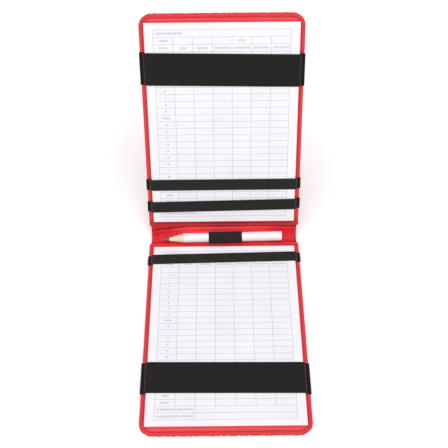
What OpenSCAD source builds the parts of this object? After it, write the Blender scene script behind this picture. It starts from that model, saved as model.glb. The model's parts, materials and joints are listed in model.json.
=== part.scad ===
// Folding scorecard holder: two stiff covers joined by a soft spine, with elastic bands
// that hold a card on each cover and a short pencil in a loop on the spine.
// Millimetres. The origin is the centre of the lower cover's resting face, X is the width,
// +Y points from the lower cover towards the spine and +Z points up.

/* [Covers] */
// Width of each cover
cover_w = 108.5; // [100:0.5:130]
// Length of each cover, from its fold to its outer edge
cover_l = 162.3; // [162:0.1:190]
// Radius of the two outer corners
corner_r = 9; // [4:0.5:14]
// Thickness of the outer skin
outer_skin_t = 1.0; // [0.6:0.1:1.4]
// Thickness of the lining
lining_t = 0.8; // [0.5:0.1:1.0]
// Thickness of the stiffening board
board_t = 1.5; // [1:0.1:2]
// Angle between the two covers
open_angle = 102.4; // [80:0.1:110]

/* [Spine] */
// Width of the strip beside the lower cover, measured between folds
low_strip_l = 4.0; // [4:0.1:6]
// Width of the middle strip, which carries the pencil
mid_strip_l = 5.2; // [5.2:0.1:8]
// Width of the strip beside the upper cover
high_strip_l = 6.1; // [5:0.1:8]
// Bend beside the lower cover, where the spine lies on the table
low_bend = 0; // [0:1:10]
// Bend between the lowest and the middle strip
mid_bend = 45; // [30:1:45]
// Bend between the middle and the highest strip
high_bend = 20; // [10:1:25]
// How much narrower the spine is than the covers, at each side
spine_inset = 1.1; // [0.5:0.1:3]

/* [Elastic] */
// Thickness of the bands
elastic_t = 0.8; // [0.5:0.1:1]
// Thickness of the pencil loop
loop_t = 0.6; // [0.4:0.1:0.6]
// Width of the wide bands
wide_band_w = 23.8; // [18:0.1:30]
// Width of the narrow bands
narrow_band_w = 8; // [5:0.5:12]
// Middle of the lower cover's narrow band, from the fold
lower_narrow_y = 15; // [12:0.1:24]
// Middle of the lower cover's wide band, from the fold
lower_wide_y = 120.2; // [60:0.1:135]
// Middle of the upper cover's inner narrow band, from the fold
upper_inner_y = 17.5; // [12:0.1:24]
// Middle of the upper cover's outer narrow band, from the fold
upper_outer_y = 35.4; // [35:0.1:60]
// Middle of the upper cover's wide band, from the fold
upper_wide_y = 123.5; // [75:0.1:135]
// Width of the pencil loop
loop_w = 24.2; // [12:0.1:30]

/* [Cards] */
// Width of a scorecard
card_w = 101.6; // [90:0.1:101.6]
// Length of a scorecard
card_l = 152.4; // [140:0.1:152.4]
// Thickness of a folded scorecard
card_t = 0.5; // [0.3:0.1:0.6]

/* [Pencil] */
// Length of the pencil
pencil_l = 87; // [80:1:95]
// Diameter of the pencil
pencil_d = 7; // [6:0.1:7]
// Diameter of the lead
lead_d = 2.5; // [1.8:0.1:2.5]
// Length of the sharpened cone
cone_l = 15.5; // [12:0.5:20]

/* [Hidden] */
$fn = 64;

leather_t = outer_skin_t + lining_t;     // the two layers where no board lies between them
strips = [low_strip_l, mid_strip_l, high_strip_l];
bends = [low_bend, mid_bend, high_bend, 180 - open_angle - low_bend - mid_bend - high_bend];
edge_margin = 4.2;                       // from a cover's edge to its board
fold_margin = 4;                         // from a cover's fold to its board
cover_top = leather_t + board_t;         // the lining's face over the board
card_gap = 0.05;                         // between the lining and a card
card_y = 4.5;                            // from the fold to a card
band_gap = 0.1;                          // between a card and the bands over it
band_under = cover_top + card_gap + card_t + band_gap;
band_overhang = 0.5;                     // a band's end stands past the cover's edge
band_foot = 2.8;                         // the flat end of a band, sewn to the margin
band_lean = 0.4;                         // how far a band leans in as it rises over a card
seam_inset = 1.65;                       // from an edge to its stitching
stitch_l = 2.2;
stitch_w = 0.4;
stitch_t = 0.3;
stitch_pitch = 3;
fold_seam_y = 0.9;                       // from a cover's fold to its cross seam
fold_gap = 0.05;                         // half the slit between two strips at a fold
spine_w = cover_w - 2 * spine_inset;
inner_corner_r = 1.5;                    // the small corners beside the spine
loop_x = 1;                              // the loop lies a little right of the middle
loop_y = 2.05;                           // from the strip's lower fold: the pencil sags downhill
loop_bore_r = pencil_d / 2 + 0.05;
loop_r = loop_bore_r + loop_t;
loop_foot_w = 3.8;
loop_z = leather_t + loop_r;             // the pencil's axis above the spine's outer face
lacquer_t = 0.12;
lead_tip_r = 0.2;
pencil_tip_x = -45.9;                    // from the middle of the loop

// Tilts of the hand-sewn bands, in degrees, as seen with the fold at the bottom
lower_narrow_tilt = 1.2;
lower_wide_tilt = -0.6;
upper_inner_tilt = 1.0;
upper_outer_tilt = 0.1;
upper_wide_tilt = -1.0;
loop_tilt = 0.8;

red = [0.78, 0.07, 0.09];
dark_red = [0.62, 0.04, 0.06];
black = [0.06, 0.06, 0.06];
grey_board = [0.55, 0.53, 0.50];
white = [0.95, 0.94, 0.96];

// Slope of what follows fold n: fold 1 is the lower cover's and fold 4 the upper cover's
function slope_after(n) = n == 0 ? 0 : slope_after(n - 1) + bends[n - 1];

// Where fold n lies, on the leather's inner face
function fold_pos(n) =
    n == 1 ? [0, cover_l / 2, leather_t]
           : fold_pos(n - 1)
             + strips[n - 2] * [0, cos(slope_after(n - 1)), sin(slope_after(n - 1))];

// A panel's own frame has its fold along X at y = 0, its outer face at z = 0 and its
// inner face towards +Z. The lower cover is turned round, and the others follow the folds.
module lower_place() {
    translate([0, cover_l / 2, 0]) rotate([0, 0, 180]) children();
}

module fold_place(n) {
    translate(fold_pos(n)) rotate([slope_after(n), 0, 0]) translate([0, 0, -leather_t])
        children();
}

module upper_place() {
    fold_place(4) children();
}

// Outline of a panel with its two outer corners rounded by r and its two inner ones by r0
module panel_outline(w, y0, y1, r, r0) {
    for (side = [-1, 1]) {
        translate([side * (w / 2 - r), y1 - r]) circle(r);
        translate([side * (w / 2 - r0), y0 + r0]) circle(r0);
    }
    translate([-w / 2 + r, y0 + r0]) square([w - 2 * r, y1 - y0 - r0]);
    translate([-w / 2, y0 + r0]) square([w, y1 - y0 - r - r0]);
    translate([-w / 2 + r0, y0]) square([w - 2 * r0, r + r0]);
}

module cover_outline() {
    panel_outline(cover_w, fold_gap, cover_l, corner_r, inner_corner_r);
}

// Outline of the board, grown by the thickness of a wall round it
module board_outline(wall) {
    panel_outline(cover_w - 2 * edge_margin + 2 * wall, fold_margin - wall,
                  cover_l - edge_margin + wall, corner_r - edge_margin + wall, 0.5 + wall);
}

module outer_skin() {
    color(red) linear_extrude(outer_skin_t) cover_outline();
}

module board() {
    color(grey_board) translate([0, 0, outer_skin_t]) linear_extrude(board_t)
        board_outline(0);
}

// The lining lies on the skin round the margin and steps up over the board
module lining() {
    color(red) difference() {
        union() {
            translate([0, 0, outer_skin_t]) linear_extrude(lining_t) cover_outline();
            translate([0, 0, outer_skin_t]) linear_extrude(lining_t + board_t)
                board_outline(lining_t);
        }
        translate([0, 0, outer_skin_t - 1]) linear_extrude(board_t + 1) board_outline(0);
    }
}

// One stitch, lying along X on z = 0
module stitch() {
    translate([-stitch_l / 2, -stitch_w / 2, 0]) cube([stitch_l, stitch_w, stitch_t]);
}

// The edge seam runs up one side, round both outer corners and down the other side
seam_x = cover_w / 2 - seam_inset;
seam_r = corner_r - seam_inset;
seam_side = cover_l - corner_r - 2;
seam_arc = PI * seam_r / 2;
seam_end = cover_w - 2 * corner_r;
seam_total = 2 * seam_side + 2 * seam_arc + seam_end;

// Place and heading of the point at distance s along the edge seam: [x, y, angle]
function seam_point(s) =
    s < seam_side ? [-seam_x, 2 + s, 90]
    : s < seam_side + seam_arc ? seam_corner(-1, 180 - (s - seam_side) / seam_r * 180 / PI)
    : s < seam_side + seam_arc + seam_end
        ? [-seam_end / 2 + s - seam_side - seam_arc, cover_l - seam_inset, 0]
    : s < seam_total - seam_side
        ? seam_corner(1, 90 - (s - seam_side - seam_arc - seam_end) / seam_r * 180 / PI)
    : [seam_x, cover_l - corner_r - (s - seam_total + seam_side), -90];

function seam_corner(side, a) =
    [side * (cover_w / 2 - corner_r) + seam_r * cos(a), cover_l - corner_r + seam_r * sin(a),
     a - 90];

// True if a stitch at [x, y] lies on one of the bands, each given as [middle, width, tilt]
function on_band(x, y, bands) =
    len([for (b = bands) if (abs(y - b[0] - x * tan(b[2])) < (b[1] + stitch_l) / 2) b]) > 0;

// The edge seam passes over the ends of the bands, which it holds
module edge_stitching(bands) {
    count = round(seam_total / stitch_pitch);
    color(dark_red) for (i = [0 : count - 1]) {
        p = seam_point((i + 0.5) * seam_total / count);
        lift = on_band(p[0], p[1], bands) ? elastic_t : 0;
        translate([p[0], p[1], leather_t + lift]) rotate([0, 0, p[2]]) stitch();
    }
}

// A straight row of stitches along X
module stitch_row(half_w) {
    count = floor(2 * half_w / stitch_pitch);
    for (i = [0 : count - 1])
        translate([(i - (count - 1) / 2) * stitch_pitch, 0, 0]) stitch();
}

module fold_seam() {
    color(dark_red) translate([0, fold_seam_y, leather_t]) stitch_row(cover_w / 2 - 4);
}

// Cross-section of a band: flat feet on the margins, and a bridge over the card
module band_profile() {
    end_x = cover_w / 2 + band_overhang;
    foot_x = cover_w / 2 - band_foot;
    rise_x = foot_x - band_lean;
    slope = [band_lean, band_under - leather_t] / norm([band_lean, band_under - leather_t]);
    run = band_lean / (band_under - leather_t);
    shift = elastic_t / slope[1];
    top_foot_x = foot_x + shift - run * elastic_t;
    top_rise_x = rise_x + shift - run * elastic_t;
    foot_top = leather_t + elastic_t;
    bridge_top = band_under + elastic_t;
    polygon([
        [end_x, leather_t], [end_x, foot_top], [top_foot_x, foot_top],
        [top_rise_x, bridge_top], [-top_rise_x, bridge_top], [-top_foot_x, foot_top],
        [-end_x, foot_top], [-end_x, leather_t], [-foot_x, leather_t],
        [-rise_x, band_under], [rise_x, band_under], [foot_x, leather_t]
    ]);
}

// A band is given as [middle, width, tilt], with the middle measured from the fold
module band(b) {
    color(black) translate([0, b[0], 0]) rotate([0, 0, b[2]]) translate([0, b[1] / 2, 0])
        rotate([90, 0, 0]) linear_extrude(b[1]) band_profile();
}

module scorecard() {
    color(white) translate([-card_w / 2, card_y, cover_top + card_gap])
        cube([card_w, card_l, card_t]);
}

// One layer of strip n of the soft spine, which lies between the folds n and n + 1
module spine_layer(n, z, t) {
    color(red) fold_place(n) translate([-spine_w / 2, fold_gap, z])
        cube([spine_w, strips[n - 1] - 2 * fold_gap, t]);
}

module spine_stitching(n) {
    color(dark_red) fold_place(n) for (side = [-1, 1], share = [0.25, 0.75])
        translate([side * (spine_w / 2 - seam_inset), share * strips[n - 1], leather_t])
            rotate([0, 0, 90]) stitch();
}

// The loop and the pencil share a frame: its origin is the middle of the loop, and its
// +Z runs along the pencil, from the tip to the blunt end.
module loop_place() {
    fold_place(2) translate([loop_x, loop_y, loop_z]) rotate([0, 0, loop_tilt])
        rotate([0, 90, 0]) children();
}

// The loop is a sleeve of elastic, with its sewn ends flat on the lining
module pencil_loop() {
    color(black) loop_place() difference() {
        union() {
            translate([0, 0, -loop_w / 2]) cylinder(r = loop_r, h = loop_w);
            translate([loop_bore_r, mid_strip_l / 2 - loop_y - loop_foot_w / 2, -loop_w / 2])
                cube([loop_t, loop_foot_w, loop_w]);
        }
        translate([0, 0, -loop_w / 2 - 1]) cylinder(r = loop_bore_r, h = loop_w + 2);
    }
}

// A pencil piece is turned about +Z, with the tip at z = 0
module pencil_place() {
    loop_place() translate([0, 0, pencil_tip_x]) children();
}

wood_r = pencil_d / 2 - lacquer_t;
cone_rate = (wood_r - lead_tip_r) / cone_l;        // radius gained along the cone
lead_bare_l = (lead_d / 2 - lead_tip_r) / cone_rate;

module pencil_casing() {
    color([0.93, 0.74, 0.56]) pencil_place() rotate_extrude() polygon([
        [lead_d / 2, lead_bare_l], [wood_r, cone_l], [wood_r, pencil_l], [lead_d / 2, pencil_l]
    ]);
}

module pencil_lacquer() {
    color(white) pencil_place() rotate_extrude()
        translate([wood_r, cone_l]) square([lacquer_t, pencil_l - cone_l]);
}

module pencil_lead() {
    color([0.22, 0.22, 0.24]) pencil_place() rotate_extrude() polygon([
        [0, 0], [lead_tip_r, 0], [lead_d / 2, lead_bare_l], [lead_d / 2, pencil_l],
        [0, pencil_l]
    ]);
}

lower_narrow = [lower_narrow_y, narrow_band_w, lower_narrow_tilt];
lower_wide = [lower_wide_y, wide_band_w, lower_wide_tilt];
upper_inner = [upper_inner_y, narrow_band_w, upper_inner_tilt];
upper_outer = [upper_outer_y, narrow_band_w, upper_outer_tilt];
upper_wide = [upper_wide_y, wide_band_w, upper_wide_tilt];

lower_place() outer_skin();  // lower_outer_skin
lower_place() board();  // lower_board
lower_place() lining();  // lower_lining
lower_place() edge_stitching([lower_narrow, lower_wide]);  // lower_edge_stitching
lower_place() fold_seam();  // lower_fold_seam
lower_place() band(lower_narrow);  // lower_narrow_band
lower_place() band(lower_wide);  // lower_wide_band
lower_place() scorecard();  // lower_scorecard
spine_layer(1, 0, outer_skin_t);  // spine_low_skin
spine_layer(1, outer_skin_t, lining_t);  // spine_low_lining
spine_stitching(1);  // spine_low_stitching
spine_layer(2, 0, outer_skin_t);  // spine_mid_skin
spine_layer(2, outer_skin_t, lining_t);  // spine_mid_lining
spine_stitching(2);  // spine_mid_stitching
pencil_loop();
spine_layer(3, 0, outer_skin_t);  // spine_high_skin
spine_layer(3, outer_skin_t, lining_t);  // spine_high_lining
spine_stitching(3);  // spine_high_stitching
upper_place() outer_skin();  // upper_outer_skin
upper_place() board();  // upper_board
upper_place() lining();  // upper_lining
upper_place() edge_stitching([upper_inner, upper_outer, upper_wide]);  // upper_edge_stitching
upper_place() fold_seam();  // upper_fold_seam
upper_place() band(upper_inner);  // upper_inner_band
upper_place() band(upper_outer);  // upper_outer_band
upper_place() band(upper_wide);  // upper_wide_band
upper_place() scorecard();  // upper_scorecard
pencil_casing();
pencil_lacquer();
pencil_lead();
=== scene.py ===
"""Folding scorecard holder: red leatherette covers and spine, ribbed elastic bands, two printed
cards and a short pencil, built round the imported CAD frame. Lengths in MM are millimetres."""
import json
import math
from functools import partialmethod

import bmesh
import bpy
import numpy as np
from mathutils import Matrix, Vector, noise


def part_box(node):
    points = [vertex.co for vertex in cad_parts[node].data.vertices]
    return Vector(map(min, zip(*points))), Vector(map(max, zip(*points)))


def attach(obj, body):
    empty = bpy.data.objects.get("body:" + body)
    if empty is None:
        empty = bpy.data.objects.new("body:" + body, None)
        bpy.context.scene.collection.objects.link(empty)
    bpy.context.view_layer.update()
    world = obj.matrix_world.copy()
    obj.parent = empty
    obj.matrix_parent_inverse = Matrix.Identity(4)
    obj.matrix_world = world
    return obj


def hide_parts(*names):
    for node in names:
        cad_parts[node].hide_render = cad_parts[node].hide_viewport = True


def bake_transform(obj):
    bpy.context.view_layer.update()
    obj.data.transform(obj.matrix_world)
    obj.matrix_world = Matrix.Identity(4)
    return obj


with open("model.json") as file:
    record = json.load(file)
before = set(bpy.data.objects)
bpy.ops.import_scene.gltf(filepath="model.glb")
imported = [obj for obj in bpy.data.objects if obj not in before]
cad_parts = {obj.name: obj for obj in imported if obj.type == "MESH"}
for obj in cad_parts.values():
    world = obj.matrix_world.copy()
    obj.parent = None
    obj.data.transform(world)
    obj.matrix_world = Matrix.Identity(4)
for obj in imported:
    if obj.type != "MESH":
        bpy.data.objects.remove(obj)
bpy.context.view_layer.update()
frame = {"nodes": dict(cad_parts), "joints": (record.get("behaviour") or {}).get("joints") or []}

MM = 0.001
scene = bpy.context.scene
joints = {joint["name"]: joint for joint in frame["joints"]}

# ---------------- sizes, from the frame, apart from those given in MM
folds = [Vector(joints[f"spine_bend_{n}"]["pos_m"]) for n in (1, 2, 3, 4)]
leather_t = folds[0].z                                   # skin and lining together
strips = [(b - a).length for a, b in zip(folds, folds[1:])]
up_cover = Vector(joints["upper_card_slide"]["axis"])


def slope(direction):
    """Angle of a direction in the YZ plane above +Y."""
    return math.atan2(direction.z, direction.y)


def box_size(node):
    low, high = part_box(node)
    return high - low


cover_w = box_size("lower_outer_skin").x
cover_l = folds[0].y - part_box("lower_outer_skin")[0].y   # from the fold to the front edge
skin_t = box_size("lower_outer_skin").z
board_t = box_size("lower_board").z
edge_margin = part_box("lower_board")[0].y + cover_l - folds[0].y
cover_top = leather_t + board_t
spine_w = box_size("spine_mid_skin").x
card_size = box_size("lower_scorecard")
corner_r = 9 * MM
card_gap = 0.1 * MM                                      # between a card and its bands
band_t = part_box("lower_wide_band")[1].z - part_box("lower_scorecard")[1].z - card_gap
MARGIN_LIFT = 0.7 * MM             # padding that lifts the leather between board and edge
LOOP_PRESS = 0.5 * MM              # how far the pencil loop presses that padding in
PULLED_IN = 0.12 * MM              # how deep the thread is drawn into the elastic
BAND_THIN = 0.20                   # share of the CAD band's thickness that the stretch takes

slopes = [slope(b - a) for a, b in zip(folds, folds[1:])] + [slope(up_cover)]
lower_frame = Matrix.Translation((0, folds[0].y, 0)) @ Matrix.Rotation(math.pi, 4, "Z")
strip_frames = [
    Matrix.Translation(fold) @ Matrix.Rotation(angle, 4, "X")
    @ Matrix.Translation((0, 0, -leather_t))
    for fold, angle in zip(folds, slopes)
]
upper_frame = strip_frames[3]

# ---------------- camera
# Solved so that the corners of the covers and cards fall where the photo shows them.
VIEW_TARGET = Vector((0.11, 83.51, 20.0)) * MM
VIEW_DISTANCE = 719.2 * MM
VIEW_ELEVATION = math.radians(45.47)
VIEW_AZIMUTH = math.radians(0.06)
VIEW_ROLL = math.radians(-0.51)
SENSOR_MM = 36
LENS_MM = 80.36


def add_camera():
    ahead = Vector((
        math.sin(VIEW_AZIMUTH) * math.cos(VIEW_ELEVATION),
        math.cos(VIEW_AZIMUTH) * math.cos(VIEW_ELEVATION),
        -math.sin(VIEW_ELEVATION),
    ))
    level = Vector((math.cos(VIEW_AZIMUTH), -math.sin(VIEW_AZIMUTH), 0))
    upright = level.cross(ahead)
    right = math.cos(VIEW_ROLL) * level + math.sin(VIEW_ROLL) * upright
    up = math.cos(VIEW_ROLL) * upright - math.sin(VIEW_ROLL) * level
    camera = bpy.data.objects.new("camera", bpy.data.cameras.new("camera"))
    scene.collection.objects.link(camera)
    camera.data.sensor_width = SENSOR_MM
    camera.data.lens = LENS_MM
    camera.data.clip_start = 0.01
    turn = Matrix((right, up, -ahead)).transposed().to_4x4()
    camera.matrix_world = Matrix.Translation(VIEW_TARGET - ahead * VIEW_DISTANCE) @ turn
    scene.camera = camera


# ---------------- node helpers
def feed(tree, value, target):
    """Links a field or a socket to a node's input, or sets a plain value on it."""
    if isinstance(value, Field):
        value = value.socket
    if isinstance(value, bpy.types.NodeSocket):
        tree.links.new(value, target)
    else:
        target.default_value = value


class Field:
    """A number that varies over a surface: a shader socket with arithmetic."""

    def __init__(self, tree, socket):
        self.tree, self.socket = tree, socket

    def _math(self, kind, other=None):
        node = self.tree.nodes.new("ShaderNodeMath")
        node.operation = kind
        feed(self.tree, self, node.inputs[0])
        if other is not None:
            feed(self.tree, other, node.inputs[1])
        return Field(self.tree, node.outputs[0])

    __add__ = partialmethod(_math, "ADD")
    __sub__ = partialmethod(_math, "SUBTRACT")
    __mul__ = partialmethod(_math, "MULTIPLY")
    __truediv__ = partialmethod(_math, "DIVIDE")
    __gt__ = partialmethod(_math, "GREATER_THAN")
    __lt__ = partialmethod(_math, "LESS_THAN")
    most = partialmethod(_math, "MAXIMUM")
    fraction = partialmethod(_math, "FRACT")
    size = partialmethod(_math, "ABSOLUTE")
    sine = partialmethod(_math, "SINE")

    def between(self, low, high):
        return (self > low) * (self < high)

    def near_whole(self):
        """Distance to the nearest whole number."""
        return ((self + 0.5).fraction() - 0.5).size()


class Surface:
    """A material under construction, in millimetres along the piece or in the object's own
    frame."""

    def __init__(self, name, along_piece=True):
        self.material = bpy.data.materials.new(name)
        self.material.use_nodes = True
        self.tree = self.material.node_tree
        self.shader = self.tree.nodes["Principled BSDF"]
        self.last_bump = None
        if along_piece:
            self.point = self.attribute("mm").outputs["Vector"]
        else:
            self.point = self.node("TexCoord").outputs["Object"]
            self.point = self.scaled((1 / MM, 1 / MM, 1 / MM))
        split = self.node("SeparateXYZ", Vector=self.point)
        self.x, self.y, self.z = (Field(self.tree, output) for output in split.outputs)

    def node(self, kind, **inputs):
        """A new shader node, with inputs set or linked by their names."""
        made = self.tree.nodes.new(f"ShaderNode{kind}")
        for name, value in inputs.items():
            feed(self.tree, value, made.inputs[name.replace("_", " ")])
        return made

    def attribute(self, name):
        node = self.node("Attribute")
        node.attribute_name = name
        return node

    def shade(self):
        """How much painted shade the mesh gives the surface, from 0 to 1."""
        return Field(self.tree, self.attribute("shade").outputs["Fac"])

    def set(self, **values):
        for name, value in values.items():
            self.shader.inputs[name.replace("_", " ")].default_value = value

    def scaled(self, factors):
        node = self.node("VectorMath")
        node.operation = "MULTIPLY"
        feed(self.tree, self.point, node.inputs[0])
        feed(self.tree, factors, node.inputs[1])
        return node.outputs[0]

    def noise(self, scale, detail, stretch=(1, 1, 1)):
        node = self.node("TexNoise", Vector=self.scaled(stretch), Scale=scale, Detail=detail)
        return Field(self.tree, node.outputs["Fac"])

    def cells(self, scale):
        node = self.node("TexVoronoi", Vector=self.point, Scale=scale)
        return Field(self.tree, node.outputs["Distance"])

    def ramp(self, value, first, last, start=0.3, stop=0.7):
        """A number that goes from first to last while value goes from start to stop."""
        node = self.node("MapRange", Value=value, From_Min=start, From_Max=stop,
                         To_Min=first, To_Max=last)
        return Field(self.tree, node.outputs["Result"])

    def mix(self, share, first, second):
        """Colour between first and second, which are colours or sockets."""
        node = self.node("Mix")
        node.data_type = "RGBA"
        feed(self.tree, share, node.inputs["Factor"])
        for name, value in (("A", first), ("B", second)):
            target = next(i for i in node.inputs if i.name == name and i.type == "RGBA")
            feed(self.tree, (*value, 1) if isinstance(value, tuple) else value, target)
        return next(o for o in node.outputs if o.type == "RGBA")

    def colour(self, socket):
        feed(self.tree, socket, self.shader.inputs["Base Color"])

    def rough(self, field):
        feed(self.tree, field, self.shader.inputs["Roughness"])

    def bump(self, height, distance, strength):
        """Height is in millimetres once multiplied by distance. Bumps stack."""
        node = self.node("Bump", Strength=strength, Distance=distance * MM, Height=height)
        if self.last_bump is not None:
            feed(self.tree, self.last_bump, node.inputs["Normal"])
        feed(self.tree, node.outputs[0], self.shader.inputs["Normal"])
        self.last_bump = node.outputs[0]


# ---------------- materials
RED = (0.690, 0.028, 0.036)
DEEP_RED = (0.55, 0.011, 0.019)
BRIGHT_RED = (0.76, 0.052, 0.057)
SPINE_LIT_RED = (0.93, 0.052, 0.060)
END_SHADE_RED = (0.70, 0.008, 0.020)
# Painted shade on elastic and thread: between ribs, on stitches pulled into a band, at the loop's
# ends; the band ends beyond the seams are darkened with it too.
SHADE_BLACK = (0.002, 0.002, 0.002)
# Painted shade in the leather's creases, hollows and folds, and the cut edge's random dark
# patches.
SHADE_AND_EDGE_DARK_RED = (0.24, 0.004, 0.008)


def leather_material(name, wrinkle=0.0, gloss=0.45):
    s = Surface(name)
    patches = s.noise(0.09, 4)
    fine = s.noise(1.1, 3)
    tone = s.mix(s.ramp(patches, 0, 1), DEEP_RED, RED)
    tone = s.mix(0.72, tone, RED)
    tone = s.mix(s.ramp(fine, 0, 0.3, 0.35, 0.75), tone, BRIGHT_RED)
    grain = s.cells(1.5)
    tone = s.mix(s.ramp(grain, 0, 0.3, 0.45, 0.75), tone, DEEP_RED)
    if wrinkle:
        # Painted light: the spine's leather is made lighter than the covers'.
        tone = s.mix(0.7, tone, SPINE_LIT_RED)
        # Painted shade: darker, deeper red towards the spine's ends.
        tone = s.mix(s.ramp(s.x.size(), 0, 1.0, 26, 42), tone, END_SHADE_RED)
    # Painted shade, as the mesh says: creases, needle hollows, seam channels and beside the folds.
    tone = s.mix(s.shade(), tone, SHADE_AND_EDGE_DARK_RED)
    specks = (s.cells(0.14) < 0.046) * (s.noise(0.07, 1) > 0.58)
    s.colour(s.mix(specks * 0.8, tone, (0.95, 0.80, 0.80)))
    s.rough(s.ramp(grain, 0.40, 0.60, 0.1, 0.8))
    s.bump(grain, -0.10, 0.5)
    s.bump(s.noise(4.0, 4), 0.05, 0.4)
    s.bump(patches, 0.8, 0.35)
    if wrinkle:
        s.bump(s.noise(0.35, 3, (0.35, 2.2, 1)), wrinkle, 0.6)
    s.set(IOR=1.48, Specular_IOR_Level=gloss)
    return s.material


def edge_material():
    """Cut edge of the leatherette: a paler woven backing shows between the red faces."""
    s = Surface("leather_edge")
    fibres = s.noise(2.2, 4, (1, 1, 3))
    tone = s.mix(s.ramp(fibres, 0, 1, 0.35, 0.7), DEEP_RED, RED)
    pale = s.ramp(s.noise(0.45, 4, (1, 1, 3)), 0, 0.9, 0.46, 0.54) * (s.z < 0.95)
    tone = s.mix(pale, tone, (0.90, 0.70, 0.68))
    s.colour(s.mix(s.ramp(s.noise(0.7, 3), 0, 0.6, 0.60, 0.70), tone, SHADE_AND_EDGE_DARK_RED))
    s.rough(s.ramp(fibres, 0.7, 0.9, 0.2, 0.8))
    s.bump(fibres, 0.15, 0.7)
    return s.material


def thread_material(name, colour):
    s = Surface(name)
    twist = ((s.x + s.y + s.z * 0.5) * 14.0).sine()
    tone = s.mix(s.ramp(twist, 0, 1, -1, 1), tuple(0.55 * c for c in colour), colour)
    # Painted shade from the mesh, on stitches pulled into a band.
    s.colour(s.mix(s.shade(), tone, SHADE_BLACK))
    s.rough(s.ramp(s.noise(3, 2), 0.5, 0.7))
    s.bump(twist, 0.04, 0.6)
    s.set(Sheen_Weight=0.2, Sheen_Roughness=0.5)
    return s.material


def elastic_material(name, dark, light, pitch):
    """Woven elastic: weft across the band every pitch mm, and a finer knit along it."""
    s = Surface(name)
    weft = (s.x * (2 * math.pi / pitch)).sine()
    knit = (s.y * (2 * math.pi / 0.42) + weft * 0.9).sine()
    thread = weft * knit
    fuzz = s.noise(2.6, 4)
    tone = s.mix(s.ramp(thread, 0, 1, -1, 1), dark, light)
    tone = s.mix(s.ramp(fuzz, 0, 0.5, 0.5, 0.8), tone, tuple(1.8 * c for c in light))
    # Painted shade from the mesh: between the ribs and at the loop's ends; the band ends beyond
    # the seams are darkened too.
    s.colour(s.mix(s.shade(), tone, SHADE_BLACK))
    s.rough(s.ramp(fuzz, 0.72, 0.9, 0.2, 0.8))
    s.bump(thread, 0.05, 0.6)
    s.bump(fuzz, 0.08, 0.5)
    s.set(Sheen_Weight=0.06, Sheen_Roughness=0.5, Specular_IOR_Level=0.15)
    return s.material


# The card's print, in mm from its top left corner.
CARD_MARGIN_X = 5.85
CARD_MARGIN_Y = 4.6
COLUMNS = 7
ROWS = 28
CELL_W = (card_size.x / MM - 2 * CARD_MARGIN_X) / COLUMNS
CELL_H = (card_size.y / MM - 2 * CARD_MARGIN_Y) / ROWS
RULE_W = 0.24
PAPER = (0.775, 0.762, 0.800)
CELL = (0.752, 0.738, 0.780)
RULE_GREY = (0.33, 0.33, 0.34)
INK = (0.33, 0.33, 0.35)


def print_material():
    """The card's face: ruled rows and columns, and grey strokes where its words would be."""
    s = Surface("card_print")
    col = (s.x - CARD_MARGIN_X) / CELL_W
    row = (s.y - CARD_MARGIN_Y) / CELL_H
    slack_x, slack_y = RULE_W / 2 / CELL_W, RULE_W / 2 / CELL_H
    inside = col.between(-slack_x, COLUMNS + slack_x) * row.between(-slack_y, ROWS + slack_y)
    across = row.near_whole() < slack_y
    down = col.near_whole() < slack_x
    edges = (col < 0.5).most(col > COLUMNS - 0.5)
    signing = (row > ROWS - 2) * col.between(1.5, 2.5)
    columns_shown = row.between(1, ROWS - 2).most(edges).most(signing)
    rules = across.most(down * columns_shown) * inside

    def words(row_low, row_high, col_low, col_high, inset):
        """Cells that hold a word: a low grey stroke, broken up like small type."""
        mid = (row.fraction() - 0.5).size() < 0.15
        reach = (col - (col_low + col_high) / 2).size() < (col_high - col_low) / 2 - inset
        return mid * reach * row.between(row_low, row_high)

    typed = words(0, 1, 0, 1.6, 0.12)
    for first, last, start, stop, inset in (
        (1, 2, 0, 1, 0.27), (1, 2, 4, 5, 0.30), (2, 3, 0, 1, 0.28), (2, 3, 1, 2, 0.32),
        (2, 3, 2, 3, 0.22), (2, 3, 3, 4, 0.08), (2, 3, 4, 5, 0.08), (2, 3, 5, 6, 0.08),
        (2, 3, 6, 7, 0.08), (12, 13, 0, 1, 0.30), (22, 23, 0, 1, 0.36), (23, 24, 0, 1, 0.26),
        (24, 25, 0, 1, 0.32), (25, 26, 0, 1, 0.30), (26, 28, 0, 2, 0.10),
    ):
        typed = typed.most(words(first, last, start, stop, inset))
    letters = (s.x * 5.3).sine() + (s.x * 8.7 + row * 3.1).sine() * 0.8
    strokes = typed * (letters > -0.35)

    tone = s.mix(inside, PAPER, CELL)
    tone = s.mix(s.ramp(s.noise(0.05, 3), 0, 0.35, 0.3, 0.8), tone, (0.90, 0.895, 0.915))
    tone = s.mix(rules * 0.85, tone, RULE_GREY)
    s.colour(s.mix(strokes * 0.65, tone, INK))
    s.rough(s.ramp(s.noise(0.5, 3), 0.55, 0.68))
    s.bump(s.noise(3.5, 5), 0.03, 0.35)
    s.set(Specular_IOR_Level=0.35)
    return s.material


def paper_material():
    s = Surface("card_paper")
    fibres = s.noise(1.6, 5, (1, 1, 6))
    s.colour(s.mix(s.ramp(fibres, 0, 1), (0.80, 0.79, 0.81), PAPER))
    s.rough(s.ramp(fibres, 0.6, 0.75))
    s.bump(fibres, 0.03, 0.4)
    return s.material


def ink_material():
    s = Surface("card_ink")
    blots = s.noise(4, 2)
    s.colour(s.mix(blots, (0.16, 0.16, 0.18), (0.26, 0.26, 0.28)))
    s.rough(s.ramp(blots, 0.6, 0.7))
    return s.material


def board_material():
    s = Surface("greyboard", along_piece=False)
    flecks = s.noise(1.2, 5)
    s.colour(s.mix(flecks, (0.30, 0.28, 0.25), (0.55, 0.53, 0.49)))
    s.rough(s.ramp(flecks, 0.8, 0.95))
    s.bump(flecks, 0.1, 0.5)
    return s.material


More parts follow.
